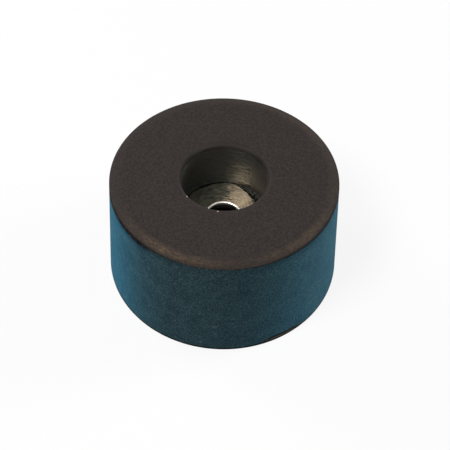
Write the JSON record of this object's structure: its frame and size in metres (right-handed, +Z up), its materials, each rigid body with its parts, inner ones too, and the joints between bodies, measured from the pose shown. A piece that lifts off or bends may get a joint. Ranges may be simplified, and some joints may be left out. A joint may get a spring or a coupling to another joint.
{
  "type": "rubber foot",
  "caption": "Round tapered rubber foot with a deep central recess, a moulded-in steel washer and a screw hole through it.",
  "frame": {"origin": "centre of the flat mounting face", "axes": "+Z up the foot's axis from the mounting face to the tread and its recess; +X to the right and -Y to the front as the picture shows the foot"},
  "size_m": [0.038, 0.038, 0.02],
  "materials": {
    "rubber": "satin",
    "washer_steel": "satin"
  },
  "bodies": {
    "root": {"rubber_body": "rubber", "steel_washer": "washer_steel"}
  },
  "joints": []
}
